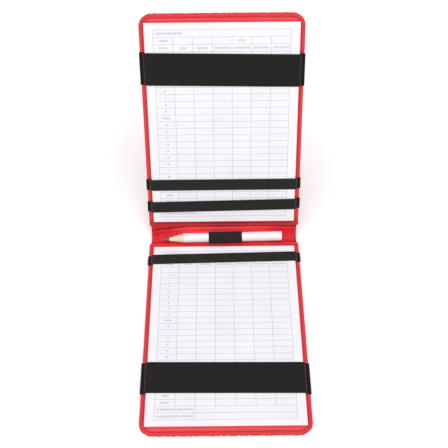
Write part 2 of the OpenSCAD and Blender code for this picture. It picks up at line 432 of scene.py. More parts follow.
def lacquer_material():
    s = Surface("white_lacquer")
    mottle = s.noise(0.5, 3)
    s.colour(s.mix(s.ramp(mottle, 0, 1), (0.78, 0.715, 0.735), (0.83, 0.765, 0.785)))
    s.rough(s.ramp(s.noise(1.5, 3), 0.16, 0.30))
    s.bump(s.noise(0.9, 2, (0.3, 1, 1)), 0.05, 0.3)
    s.set(Coat_Weight=0.5, Coat_Roughness=0.12)
    return s.material


def wood_material():
    s = Surface("pencil_wood")
    fibre = s.noise(1.1, 4, (0.12, 2.2, 2.2))
    streaks = s.noise(3.0, 3, (0.08, 3, 3))
    tone = s.mix(s.ramp(fibre, 0, 1), (0.81, 0.55, 0.39), (0.88, 0.68, 0.53))
    s.colour(s.mix(s.ramp(streaks, 0, 0.5, 0.55, 0.75), tone, (0.74, 0.46, 0.30)))
    s.rough(s.ramp(fibre, 0.55, 0.75))
    s.bump(streaks, 0.06, 0.6)
    return s.material


def graphite_material():
    s = Surface("graphite")
    turned = s.noise(2.5, 3, (4, 1, 1))
    s.colour(s.mix(turned, (0.07, 0.07, 0.075), (0.24, 0.24, 0.25)))
    s.rough(s.ramp(turned, 0.28, 0.5))
    s.bump(turned, 0.05, 0.5)
    s.set(Metallic=0.55)
    return s.material


def floor_material():
    s = Surface("floor", along_piece=False)
    cloud = s.noise(0.004, 2)
    s.colour(s.mix(cloud, (0.985, 0.985, 0.985), (1.0, 1.0, 1.0)))
    s.rough(s.ramp(cloud, 0.85, 0.95, 0, 1))
    s.set(Specular_IOR_Level=0.1)
    return s.material


# ---------------- mesh helpers
def add_piece(name, points, faces, materials, place=None, sharp=None, mm=None, slots=None,
              shade=None):
    """A smooth-shaded mesh. mm holds each point's own coordinates for the materials, and by
    default it's the point before it is placed. Edges that turn by more than sharp degrees stay
    sharp. slots gives each face its material's number, and shade says how much painted shade
    each point gets, from 0 to 1."""
    mesh = bpy.data.meshes.new(name)
    points = np.asarray(points, float)
    mesh.from_pydata(points.tolist(), [], faces)
    own = points / MM if mm is None else np.asarray(mm, float)
    attribute = mesh.attributes.new("mm", "FLOAT_VECTOR", "POINT")
    attribute.data.foreach_set("vector", own.astype(np.float32).ravel())
    if shade is not None:
        depth = mesh.attributes.new("shade", "FLOAT", "POINT")
        depth.data.foreach_set("value", np.asarray(shade, np.float32))
    for material in materials:
        mesh.materials.append(material)
    if slots is not None:
        mesh.polygons.foreach_set("material_index", np.asarray(slots, np.int32))
    mesh.polygons.foreach_set("use_smooth", [True] * len(mesh.polygons))
    if place is not None:
        mesh.transform(place)
    turn_outwards(mesh)
    if sharp:
        mesh.set_sharp_from_angle(angle=math.radians(sharp))
    piece = bpy.data.objects.new(name, mesh)
    scene.collection.objects.link(piece)
    return piece


def give(piece, body, slot, *replaced):
    """Fixes a piece to its body, and hides the CAD nodes that it stands for. slot is not used."""
    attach(piece, body)
    if replaced:
        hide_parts(*replaced)


def turn_outwards(mesh):
    work = bmesh.new()
    work.from_mesh(mesh)
    bmesh.ops.recalc_face_normals(work, faces=work.faces)
    work.to_mesh(mesh)
    work.free()


def quads(count, pairs):
    """Faces between pairs of rings of count points, given by the rings' first points."""
    return [(a + i, a + (i + 1) % count, b + (i + 1) % count, b + i)
            for a, b in pairs for i in range(count)]


def loft(rings):
    """Points and faces of a skin through rings of equal length, with both ends capped."""
    count = len(rings[0])
    points = np.concatenate(rings)
    last = len(points) - count
    faces = quads(count, [(a, a + count) for a in range(0, last, count)])
    return points, faces + [tuple(range(count)), tuple(range(last, len(points)))]


def joined(parts):
    """Several (points, faces) as one."""
    points, faces, start = [], [], 0
    for part_points, part_faces in parts:
        points.append(part_points)
        faces += [tuple(i + start for i in face) for face in part_faces]
        start += len(part_points)
    return np.concatenate(points), faces


def islands(node):
    """The separate solids of a CAD node, each as a list of its corner points."""
    work = bmesh.new()
    work.from_mesh(frame["nodes"][node].data)
    bmesh.ops.remove_doubles(work, verts=work.verts, dist=1e-6)
    seen, found = set(), []
    for vert in work.verts:
        if vert in seen:
            continue
        stack, group = [vert], []
        seen.add(vert)
        while stack:
            here = stack.pop()
            group.append(here.co.copy())
            for edge in here.link_edges:
                other = edge.other_vert(here)
                if other not in seen:
                    seen.add(other)
                    stack.append(other)
        found.append(group)
    work.free()
    return found


def stitches_in(node, place):
    """Each stitch of a CAD node in the panel's own frame: (middle of its foot, heading)."""
    back = place.inverted()
    found = []
    for group in islands(node):
        corners = [back @ p for p in group]
        low = min(p.z for p in corners)
        foot = [p for p in corners if p.z < low + 1e-5]
        ends = sorted(foot, key=lambda p: (p - foot[0]).length)
        along = ends[min(2, len(ends) - 1)] - foot[0]
        found.append((mean(foot), along.normalized()))
    return found


def mean(points):
    return sum(points, Vector()) / len(points)


def corners_in(node, place):
    """The corners of a CAD node in the panel's own frame."""
    back = place.inverted()
    return [back @ p for group in islands(node) for p in group]


def between_ribs(across, half, ribs):
    """How deep between two ribs a point lies, from 0 to 1, over a width of twice half."""
    return 1 - abs(math.sin(math.pi * (across / half + 1) / 2 * ribs))


def moved_in(stitches):
    """The edge seam's stitches, moved sideways onto the seam's own line, and sunk into the
    bands that they cross."""
    cad_inset = cover_w / 2 - max(m.x for m, h in stitches)
    found = []
    for middle, along in stitches:
        side = Vector((-along.y, along.x, 0))
        inwards = Vector((0, cover_l / 2, 0)) - middle
        side *= math.copysign(SEAM_INSET - cad_inset, side.dot(inwards))
        on_band = middle.z > leather_t + band_t / 2
        sunk = BAND_THIN * band_t + PULLED_IN if on_band else 0
        found.append((middle + side - Vector((0, 0, sunk)), along))
    return found


loop_low, loop_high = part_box("pencil_loop")


def pressed(prefix, x, y):
    """How far the pencil loop has pressed the lower cover's padding in, beside the fold."""
    if prefix == "upper":
        return 0.0
    middle, half = (loop_low.x + loop_high.x) / 2, (loop_high.x - loop_low.x) / 2
    past = abs(x - middle) - half - 2 * MM
    return LOOP_PRESS / (1 + math.exp(past / MM)) * math.exp(-(max(y, 0.0) / (4 * MM)) ** 4)


def cover_stitches(prefix, place):
    """Both seams of a cover, as they run over its padded margins."""
    edge = moved_in(stitches_in(f"{prefix}_edge_stitching", place))
    fold = stitches_in(f"{prefix}_fold_seam", place)
    return [[(middle + Vector((0, 0, MARGIN_LIFT - pressed(prefix, middle.x, middle.y))), along)
             for middle, along in seam] for seam in (edge, fold)]


# ---------------- thread
THREAD_R = 0.24 * MM
OUTSIDE_THREAD_Z = 0.42 * MM  # keeps the outer face's thread above the floor
STITCH_REACH = 1.30 * MM      # half the distance between two needle holes


def stitch_tube(middle, heading, lift=0.0, up=1.0):
    """One stitch: a short round thread that rises out of one hole and dips into the next."""
    steps, sides = 9, 7                          # along the thread and round it
    across = Vector((0, 0, 1)).cross(heading)
    rings = []
    for step in range(steps):
        t = 2 * step / (steps - 1) - 1
        height = THREAD_R * (1.1 - 2.6 * abs(t) ** 5) + lift
        width = THREAD_R * (1.0 - 0.35 * t * t)
        centre = middle + heading * (STITCH_REACH * t) + Vector((0, 0, up * height))
        ring = []
        for side in range(sides):
            angle = 2 * math.pi * side / sides
            ring.append(centre + across * (width * math.cos(angle))
                        + Vector((0, 0, 0.8 * width * math.sin(angle))))
        rings.append(np.array(ring))
    return loft(rings)


def add_thread(name, stitches, place, material, lift=0.0, up=1.0, dim=lambda middle: 0.0):
    """A row of stitches; dim says how much shade is painted on a stitch, from where its middle
    lies.
    """
    tubes = [stitch_tube(m, h, lift, up=up) for m, h in stitches]
    shades = [dim(m) for (m, h), (points, faces) in zip(stitches, tubes) for p in points]
    return add_piece(name, *joined(tubes), [material], place, shade=shades)


# ---------------- covers
SIDE_STEPS, END_STEPS, CORNER_STEPS, SMALL_STEPS = 210, 130, 20, 6
INNER_CORNER_R = 1.5 * MM
SEAM_INSET = 2.3 * MM             # from a cover's edge to its seam
FOLD_EDGE = -0.5 * MM             # the leather reaches this far over the fold line
FOLD_SHADE_REACH = 5.4 * MM             # how far shade is painted on the leather beside a fold
HOLE_R = 0.50 * MM                # reach of the hollow round a needle hole
HOLLOW = 0.22                     # its depth in mm
WAVE = 0.07 * MM                  # height of the slow waves in the leather


def outline(inset):
    """Outline of a cover, inset from its edge, in its own frame: rounded outer corners."""
    half = cover_w / 2 - inset
    low, high = FOLD_EDGE + inset, cover_l - inset
    big = max(corner_r - inset, 0.5 * MM)
    small = max(INNER_CORNER_R - inset, 0.1 * MM)
    points = []

    def straight(start, stop, steps):
        points.extend(tuple(a + (b - a) * (i / steps) for a, b in zip(start, stop))
                      for i in range(steps))

    def arc(x, y, radius, first, steps):
        for i in range(steps):
            angle = first + math.pi / 2 * i / steps
            points.append((x + radius * math.cos(angle), y + radius * math.sin(angle)))

    straight((-half + small, low), (half - small, low), END_STEPS)
    arc(half - small, low + small, small, -math.pi / 2, SMALL_STEPS)
    straight((half, low + small), (half, high - big), SIDE_STEPS)
    arc(half - big, high - big, big, 0, CORNER_STEPS)
    straight((half - big, high), (-half + big, high), END_STEPS)
    arc(-half + big, high - big, big, math.pi / 2, CORNER_STEPS)
    straight((-half, high - big), (-half, low + small), SIDE_STEPS)
    arc(-half + small, low + small, small, math.pi, SMALL_STEPS)
    return np.array(points)


def undulation(points, seed):
    """Slow waves in the leather, as heights."""
    return np.array([
        WAVE * noise.fractal(Vector((x * 45 + seed, y * 45, seed)), 1.0, 2.0, 3)
        for x, y in points
    ])


def hollows(points, holes):
    """How far each point lies in the hollow round a needle hole, from 0 to 1."""
    gap = np.linalg.norm(points[:, None, :] - holes[None, :, :], axis=2).min(1)
    return np.exp(-(gap / HOLE_R) ** 2)


def rings_of(levels, holes, seed):
    """Rings at (inset, height, softness) levels: soft ones have hollows and waves. Returns the
    rings and the shade painted in their points' hollows."""
    rings, shades = [], []
    for inset, height, soft in levels:
        flat = outline(inset * MM)
        z = np.full(len(flat), height * MM)
        hollow = np.zeros(len(flat))
        if soft:
            hollow = hollows(flat, holes)
            z = z + soft * (undulation(flat, seed) - HOLLOW * MM * hollow)
        rings.append(np.column_stack([flat, z]))
        # Painted shade in the hollows round the needle holes.
        shades.append(0.40 * hollow)
    return rings, np.concatenate(shades)


def cover_leather(prefix, body, place, dark, seed, looks):
    """The skin and the lining of one cover, which meet in its cut edge. Their levels are
    (inset, height, softness) in mm, and dark is the shade painted on the lining by the fold."""
    stitches = sum(cover_stitches(prefix, place), [])
    holes = np.array([(m + side * STITCH_REACH * h)[:2] for m, h in stitches
                      for side in (-1, 1)])
    skin, top = skin_t / MM, (leather_t + MARGIN_LIFT) / MM
    rise, raised = edge_margin / MM - (leather_t - skin_t) / MM, cover_top / MM
    board_top, seam, step = skin + board_t / MM, SEAM_INSET / MM, raised - top
    lining_levels = [
        (edge_margin / MM + 1.5, board_top, 0), (edge_margin / MM, board_top, 0),
        (edge_margin / MM, skin, 0), (0.25, skin + 0.01, 0), (0.05, skin + 0.10, 0),
        (0.0, skin + 0.28, 0), (0.02, skin + 0.50, 0), (0.12, top - 0.10, 0),
        (0.30, top - 0.02, 0.4), (0.60, top, 1), (1.10, top + 0.01, 1), (1.60, top, 1),
        (seam - 0.40, top - 0.01, 1), (seam - 0.20, top - 0.03, 1), (seam, top - 0.04, 1),
        (seam + 0.20, top - 0.01, 1), (seam + 0.42, top + 0.06 * step, 1),
        (rise - 0.38, top + 0.20 * step, 1), (rise - 0.10, top + 0.38 * step, 0.6),
        (rise + 0.20, top + 0.58 * step, 0.4), (rise + 0.50, top + 0.77 * step, 0.2),
        (rise + 0.85, top + 0.90 * step, 0), (rise + 1.25, top + 0.98 * step, 0),
        (rise + 1.7, raised, 0), (rise + 4.0, raised, 0),
    ]
    skin_levels = [
        (6.0, skin, 0), (0.25, skin - 0.01, 0), (0.05, skin - 0.10, 0), (0.0, skin - 0.30, 0),
        (0.03, 0.30, 0), (0.14, 0.12, 0), (0.34, 0.03, 0), (0.70, 0.0, 0), (1.10, 0.02, 0),
        (seam - 0.30, 0.12, -1), (seam, 0.30, -1), (seam + 0.30, 0.12, -1),
        (seam + 0.65, 0.02, 0), (seam + 1.6, 0.0, 0),
        (5.0, 0.0, 0), (9.0, 0.0, 0),
    ]
    for part, cad, levels, edge_rings in (
        ("lining", "lining", lining_levels, range(3, 7)),
        ("skin", "outer_skin", skin_levels, range(1, 5)),
    ):
        rings, shades = rings_of(levels, holes, seed)
        points, faces = loft(rings)
        if part == "lining":
            # Painted shade on the lining beside the fold.
            shades = shades + dark * np.clip((FOLD_SHADE_REACH - points[:, 1]) / MM, 0, 1)
            press = np.array([pressed(prefix, x, y) for x, y, z in points])
            points[:, 2] -= press * np.clip(points[:, 2] / MM - skin - 0.1, 0, 1)
        slots = [int(i // len(rings[0]) in edge_rings) for i in range(len(faces))]
        piece = add_piece(f"{prefix}_leather_{part}", points, faces, looks, place,
                          slots=slots, shade=shades)
        leather = "cover_leather" if part == "skin" else "lining_leather"
        give(piece, body, leather, f"{prefix}_{cad}")


def over_band(middle):
    """Painted shade on the red thread where it is pulled into a black band."""
    return 0.6 * (middle.z > leather_t + MARGIN_LIFT + 0.3 * band_t)


def cover_threads(prefix, body, place, material, lit_fold_look):
    """The edge seam and the fold seam, and the same threads on the outer face."""
    edge, seam = cover_stitches(prefix, place)
    # The fold seam's thread is a lighter copy: painted light.
    for name, stitches, cad, look in (("edge", edge, "edge_stitching", material),
                                      ("fold", seam, "fold_seam", lit_fold_look)):
        piece = add_thread(f"{prefix}_{name}_thread", stitches, place, look, -0.10 * MM,
                           dim=over_band)
        give(piece, body, "thread", f"{prefix}_{cad}")
    outside = [(Vector((m.x, m.y, OUTSIDE_THREAD_Z)), h) for m, h in edge + seam]
    piece = add_thread(f"{prefix}_outside_thread", outside, place, material, -0.06 * MM, -1)
    give(piece, body, "thread")


# ---------------- spine
SPINE_COLUMNS = 180
TUCK = 1.6 * MM                # how far the spine's ends are tucked into the covers
spine_l = sum(strips)
fold_marks = [0.0, strips[0], strips[0] + strips[1], spine_l]      # each fold's distance along it
before_fold = [strips[0] / 2, strips[0] / 2, strips[1] / 2, strips[2] / 2]
after_fold = [strips[0] / 2, strips[1] / 2, strips[2] / 2, strips[2] / 2]
STRIP_NAMES = ["spine_low", "spine_mid", "spine_high"]


def heading(angle):
    return Vector((0, math.cos(angle), math.sin(angle)))


def fold_reach(n, share=1.0):
    """Start and stop of the stretch that bends at fold n, on the spine's inner face."""
    start = folds[n] - heading(slopes[n - 1] if n else 0.0) * before_fold[n] * share
    stop = folds[n] + heading(slopes[n]) * after_fold[n] * share
    return start, stop


def spine_line(s):
    """Place and slope of the spine's inner face at distance s from the lower fold, as (y, z,
    angle): the strips' own lines, with each fold rounded off."""
    n = max(k for k in range(4) if k == 0 or s >= fold_marks[k] - before_fold[k])
    t = s - fold_marks[n]
    u = min(max((t + before_fold[n]) / (before_fold[n] + after_fold[n]), 0.0), 1.0)
    start, stop = fold_reach(n)
    place = start * (1 - u) ** 2 + folds[n] * (2 * u * (1 - u)) + stop * u ** 2
    ahead = ((folds[n] - start) * (1 - u) + (stop - folds[n]) * u).normalized()
    place = place + ahead * (min(t + before_fold[n], 0.0) + max(t - after_fold[n], 0.0))
    return place.y, place.z, slope(ahead)


def bell(value, middle, width):
    return math.exp(-((value - middle) / width) ** 2)


def spine_relief(x, s):
    """Height of the spine's inner face over its line and the shade painted in its creases, as
    (metres, 0 to 1), worked out in mm. left and right grow from 0 to 1 towards the spine's ends."""
    xm, sm, length = x / MM, s / MM, spine_l / MM
    left = max(0.0, (-xm - 22) / 31)
    right = max(0.0, (xm - 32) / 21)
    # A crease beside the upper cover drops towards the left end, with a puff on each side.
    crease_at = (length - 1.0 - 3.2 * left ** 1.4 - 0.5 * right
                 + 0.25 * noise.noise(Vector((xm * 0.09, 0.5, 2.0))))
    depth = 0.75 + 0.25 * noise.noise(Vector((xm * 0.14, 9.0, 4.0)))
    height = -1.05 * depth * bell(sm, crease_at, 0.62)
    height += 0.42 * bell(sm, crease_at + 1.35, 0.75)
    height += 0.25 * bell(sm, crease_at - 1.7, 0.9)
    # A puff beside the lower cover, flatter under the pencil loop.
    height += 0.35 * bell(sm, 0.9, 1.2) * (1 - 0.6 * bell(xm, 1, 14))
    # A second, shallower crease at the left end.
    second = crease_at - 2.3 - 1.2 * left
    height -= 0.30 * left * bell(sm, second, 0.45)
    # Puckers near both ends, and slow waves all over.
    pucker = noise.fractal(Vector((xm * 0.42, sm * 0.10, 7.7)), 1.0, 2.0, 3)
    ends = min(1.0, left + 1.2 * right)
    free = bell(sm, length / 2, length * 0.42)
    height += 0.55 * ends * pucker * free
    height += 0.28 * noise.fractal(Vector((xm * 0.045, sm * 0.16, 3.1)), 1.0, 2.0, 3)
    height -= 0.45 * bell(abs(xm), 52, 5)
    # Painted shade: in the creases and the puckers' hollows, and a little all over near both ends.
    shade = 0.85 * depth * bell(sm, crease_at + 0.15, 0.95)
    shade += 0.35 * left * bell(sm, second, 0.5)
    shade += (0.95 * max(0.0, -pucker - 0.03) + 0.20) * ends * free
    return height * MM, min(shade, 0.85)


def spine_edge(s):
    """The spine's half width at s, which gives a little between the covers."""
    return spine_w / 2 - 0.35 * MM * math.sin(math.pi * min(max(s / spine_l, 0), 1))


EDGE_ROLL = 0.45 * MM             # how far the spine's side edges are rounded
SPINE_SEAM = SEAM_INSET - 0.2 * MM


def spine_section(s, thin):
    """One cross-section of the spine as a closed ring: points, material coordinates and
    painted shade."""
    y, z, angle = spine_line(s)
    half = spine_edge(s)
    normal = Vector((0, -math.sin(angle), math.cos(angle)))
    base = Vector((0, y, z))
    ring, own, shades = [], [], []

    def put(x, depth, shade):
        ring.append((base + Vector((x, 0, 0)) - normal * depth)[:])
        own.append((x / MM, s / MM, -depth / MM))
        shades.append(shade)

    def roll(x):
        return EDGE_ROLL * math.exp(-max(half - abs(x), 0.0) / (0.28 * MM))

    even = [2 * i / SPINE_COLUMNS - 1 for i in range(SPINE_COLUMNS + 1)]
    xs = [half * (0.25 * math.sin(math.pi / 2 * t) + 0.75 * t) for t in even]
    for x, inner in [(x, True) for x in xs] + [(x, False) for x in reversed(xs)]:
        height, shade = spine_relief(x, s)
        keep = 1 - roll(x) / EDGE_ROLL
        channel = bell(abs(x), half - SPINE_SEAM, 0.35 * MM)
        # Painted shade in the creases and in the seam channels beside the edges.
        if inner:
            put(x, roll(x) + thin - height * keep + 0.10 * MM * channel,
                max(shade * keep, 0.30 * channel))
        else:
            put(x, leather_t - roll(x) * 0.8 - thin - 0.35 * max(height, 0.0) * keep
                - 0.34 * MM * channel, max(0.3 * shade, 0.2 * channel))
    return np.array(ring), np.array(own), shades


def give_fold(piece, n, slot, *layers):
    """Bakes a piece's place into its mesh, and hides the CAD layers of the strip after fold n,
    if there is one, which the piece stands for. slot is not used."""
    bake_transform(piece)
    if n < len(STRIP_NAMES):
        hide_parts(*(f"{STRIP_NAMES[n]}_{layer}" for layer in layers))


def add_spine(looks, thread):
    """Four pieces, each of which bends across one fold; they meet halfway along the strips."""
    stops = [-TUCK, strips[0] / 2, fold_marks[1] + strips[1] / 2, fold_marks[2] + strips[2] / 2,
             spine_l + TUCK]
    for i in range(4):
        steps = max(8, round((stops[i + 1] - stops[i]) / (0.25 * MM)))
        rings, owns, shades = [], [], []
        for k in range(steps + 1):
            s = stops[i] + (stops[i + 1] - stops[i]) * k / steps
            into_cover = max(0.0, -s, s - spine_l) / TUCK
            ring, own, shade = spine_section(s, 0.35 * MM * into_cover)
            rings.append(ring)
            owns.append(own)
            shades += shade
        points, faces = loft(rings)
        piece = add_piece(f"spine_leather_{i + 1}", points, faces, looks,
                          mm=np.concatenate(owns), sharp=70, shade=shades)
        give_fold(piece, i, "spine_leather", "skin", "lining")
    add_spine_thread(thread)


def add_spine_thread(thread):
    """The seams along the spine's two sides, on both faces, in a piece for each fold."""
    count = 6
    spans = [[] for fold in folds]
    for k in range(count):
        s = (k + 0.5) * spine_l / count
        spans[min(range(4), key=lambda n: abs(s - fold_marks[n]))].append(s)
    for i, places in enumerate(spans):
        parts = []
        for s in places:
            y, z, angle = spine_line(s)
            turn = Matrix.Translation((0, y, z)) @ Matrix.Rotation(angle, 4, "X")
            for side in (-1, 1):
                x = side * (spine_edge(s) - SPINE_SEAM)
                low = -spine_relief(x, s)[0]
                for depth, up in ((0.20 * MM + low, 1), (leather_t - 0.50 * MM, -1)):
                    points, faces = stitch_tube(Vector((x, 0, -depth)), Vector((0, 1, 0)), up=up)
                    parts.append((np.array([(turn @ Vector(p))[:] for p in points]), faces))
        piece = add_piece(f"spine_thread_{i + 1}", *joined(parts), [thread])
        give_fold(piece, i, "thread", "stitching")


# ---------------- elastic
def band_shape(node, place):
    """A band's own sizes, measured on its CAD solid: middle, tilt, width and profile."""
    corners = corners_in(node, place)
    top = max(p.z for p in corners)
    high = [p for p in corners if p.z > top - 1e-5]
    mid_right = mean([p for p in high if p.x > 0])
    mid_left = mean([p for p in high if p.x < 0])
    middle = (mid_right + mid_left) / 2
    tilt = math.atan2(mid_right.y - mid_left.y, mid_right.x - mid_left.x)
    own = [Matrix.Rotation(-tilt, 3, "Z") @ (p - Vector((middle.x, middle.y, 0)))
           for p in corners]
    bottom = min(p.z for p in own)
    thick = min(p.z for p in own if p.z > bottom + 1e-5) - bottom
    under = top - thick
    return {
        "middle": middle, "tilt": tilt, "bottom": bottom, "under": under, "thick": thick,
        "width": max(p.y for p in own) - min(p.y for p in own),
        "end": max(p.x for p in own),
        "foot": min(p.x for p in own if p.x > 0 and p.z < bottom + 1e-5),
        "rise": max(p.x for p in own if abs(p.z - under) < 1e-5),
    }


def rounded_path(corners, radius, step):
    """Points along a polyline whose inner corners are rounded, about a step apart."""
    points = [corners[0]]
    for before, here, after in zip(corners, corners[1:], corners[2:]):
        reach = min(radius, (here - before).length / 2, (after - here).length / 2)
        start = here + (before - here).normalized() * reach
        stop = here + (after - here).normalized() * reach
        for k in range(7):
            t = k / 6
            points.append(start * (1 - t) ** 2 + here * (2 * t * (1 - t)) + stop * t * t)
    points.append(corners[-1])
    dense = [points[0]]
    for a, b in zip(points, points[1:]):
        parts = max(1, math.ceil((b - a).length / step))
        dense += [a.lerp(b, (k + 1) / parts) for k in range(parts)]
    return dense


BAND_DENT = 0.16 * MM              # how deep the seam pulls a band in
BAND_ROUND = 0.22 * MM             # how far a band's long edges are rounded
PATH_STEP = 2.5 * MM
STEPS_PER_RIB = 8


def add_band(name, node, body, place, ribs, rib_h, groove_shade, wider, outwards, material):
    """A woven band: ribs run along it, and groove says how much shade is painted between them. Its
    ends lie flat on the margins, and it is stretched from the seams over the card. It is wider
    than its CAD solid, and further outwards, as the photo's bands are."""
    shape = band_shape(node, place)
    half_w = (shape["width"] + wider) / 2
    steps = ribs * STEPS_PER_RIB
    across = [half_w * (2 * k / steps - 1) for k in range(steps + 1)]
    thick = (1 - BAND_THIN) * shape["thick"]
    bottom = shape["bottom"] + MARGIN_LIFT
    side = [Vector((shape["end"], bottom)), Vector((shape["foot"] - 0.2 * MM, bottom)),
            Vector((shape["rise"] - 0.1 * MM, shape["under"]))]
    path = rounded_path(side + [Vector((-p.x, p.y)) for p in reversed(side)], 0.6 * MM,
                        PATH_STEP)
    seam = cover_w / 2 - SEAM_INSET
    lean = math.sin(shape["tilt"])           # keeps the ends parallel to the cover's edges
    rings, owns, shades, gone = [], [], [], 0.0
    for k, point in enumerate(path):
        ahead = path[min(k + 1, len(path) - 1)] - path[max(k - 1, 0)]
        ahead.normalize()
        normal = Vector((ahead.y, -ahead.x))
        gone += (point - path[k - 1]).length if k else 0.0
        pull = BAND_DENT * math.exp(-((abs(point.x) - seam) / (0.45 * MM)) ** 2)
        end = max(0.0, 1 - (shape["end"] - abs(point.x)) / (0.5 * MM))
        waist = 1 - 0.004 * (1 - (point.x / shape["end"]) ** 2)
        # Beyond the seams the band is painted darker.
        beyond = 0.45 * (abs(point.x) > seam + 0.2 * MM)
        ring, own = [], []
        for v, upper in [(v, 1) for v in across] + [(v, 0) for v in reversed(across)]:
            low = between_ribs(v, half_w, ribs)
            edge = BAND_ROUND * math.exp(-(half_w - abs(v)) / (0.16 * MM))
            up = thick - rib_h * low - edge - pull - 0.1 * MM * end if upper else edge
            ring.append((point.x + normal.x * up + v * lean, v * waist,
                         point.y + normal.y * up))
            own.append((gone / MM, v / MM, upper))
            # Painted shade between the ribs on the upper face, and the darker ends.
            shades.append(min(1.0, upper * groove_shade * low + beyond))
        rings.append(np.array(ring))
        owns.append(np.array(own))
    points, faces = loft(rings)
    turn = (place @ Matrix.Translation((shape["middle"].x, shape["middle"].y + outwards, 0))
            @ Matrix.Rotation(shape["tilt"], 4, "Z"))
    slots = [0] * (len(faces) - 2) + [1, 1]          # the last two faces are the cut ends
    piece = add_piece(name, points, faces, [material, cut_elastic], turn,
                      mm=np.concatenate(owns), slots=slots, sharp=60, shade=shades)
    give(piece, body, "elastic", node)


def loop_shape():
    """The pencil loop's place and own sizes, measured on its CAD solid: half its length, its
    outer radius, and the two edges of its foot."""
    axis = Vector(joints["pencil_slide"]["axis"])
    back = strip_frames[1].inverted()
    corners = corners_in("pencil_loop", strip_frames[1])
    low = min(p.z for p in corners)
    high = max(p.z for p in corners)
    local_axis = (back.to_3x3() @ axis).normalized()
    tilt = math.atan2(local_axis.y, local_axis.x)
    x_mid = sum(p.x for p in corners) / len(corners)
    top = [p for p in corners if p.z > high - 0.2 * MM]
    y_mid = sum(p.y for p in top) / len(top)
    outer_r = (high - low) / 2
    centre = Vector((x_mid, y_mid, low + outer_r))
    turn = strip_frames[1] @ Matrix.Translation(centre) @ Matrix.Rotation(tilt, 4, "Z")
    own = [Matrix.Rotation(-tilt, 3, "Z") @ (p - centre) for p in corners]
    foot = [p.y for p in own if p.z < -outer_r + 1e-4]
    return turn, max(p.x for p in own), outer_r, min(foot), max(foot)


LOOP_RIBS, LOOP_SIDES = 18, 72
LOOP_RIB_H = 0.15 * MM
LOOP_GAP = 0.04 * MM               # between the pencil and the loop
LOOP_FOOT_T = 0.55 * MM
LOOP_STITCH = 3.0                  # mm from one stitch to the next


def add_loop(material, thread):
    """The pencil loop: a ribbed elastic sleeve round the pencil, with a foot sewn flat."""
    turn, half, outer_r, foot_low, foot_high = loop_shape()
    steps = LOOP_RIBS * 6
    outer, inner, own, shades = [], [], [], []
    for step in range(steps + 1):
        x = half * (2 * step / steps - 1)
        low = between_ribs(x, half, LOOP_RIBS)
        # Painted shade between the ribs and near the sleeve's ends.
        shades += [max(low, 0.8 * (half - abs(x) < 0.5 * MM))] * LOOP_SIDES
        edge = 0.15 * MM * math.exp(-(half - abs(x)) / (0.15 * MM))
        r = outer_r - LOOP_RIB_H * low - edge
        bore = PENCIL_R + LOOP_GAP + edge * 0.3
        for k in range(LOOP_SIDES):
            a = 2 * math.pi * k / LOOP_SIDES
            flat = 1 - 0.012 * math.cos(2 * a)
            outer.append((x, r * flat * math.sin(a), r * math.cos(a)))
            inner.append((x, bore * math.sin(a), bore * math.cos(a)))
            own.append((r * a / MM, x / MM))
    base, last = len(outer), len(outer) - LOOP_SIDES
    pairs = [(a + side, a + side + LOOP_SIDES) for side in (0, base)
             for a in range(0, last, LOOP_SIDES)]
    faces = quads(LOOP_SIDES, pairs + [(0, base), (last, base + last)])
    piece = add_piece("pencil_loop_sleeve", outer + inner, faces, [material], turn,
                      mm=[(u, v, side) for side in (1, 0) for u, v in own], sharp=50,
                      shade=shades + [0.0] * len(inner))
    give(piece, "spine_mid", "elastic", "pencil_loop")

    section = [
        (foot_low, 0), (foot_low + 0.1 * MM, 0.8 * LOOP_FOOT_T),
        (foot_low + 0.35 * MM, LOOP_FOOT_T), (foot_high - 0.35 * MM, LOOP_FOOT_T),
        (foot_high - 0.1 * MM, 0.8 * LOOP_FOOT_T), (foot_high, 0),
    ]
    rings = [np.array([(half * (k / 20 - 1), y, z - outer_r) for y, z in section])
             for k in range(41)]
    piece = add_piece("pencil_loop_foot", *loft(rings), [material], turn, sharp=50)
    give(piece, "spine_mid", "elastic")
    row = [(Vector((x * MM, foot_high - 0.75 * MM, LOOP_FOOT_T - outer_r)), Vector((1, 0, 0)))
           for x in np.arange(-half / MM + 2.0, half / MM - 1.5, LOOP_STITCH)]
    piece = add_thread("pencil_loop_thread", row, turn, thread, -0.08 * MM)
    give(piece, "spine_mid", "thread")


# ---------------- cards
def card_place(prefix, place):
    """The middle of a card's under face; place is the frame that the card lies square in."""
    back = place.inverted()
    corners = [back @ v.co for v in frame["nodes"][f"{prefix}_scorecard"].data.vertices]
    middle = (min(p.y for p in corners) + max(p.y for p in corners)) / 2
    return place @ Matrix.Translation((0, middle, min(p.z for p in corners)))


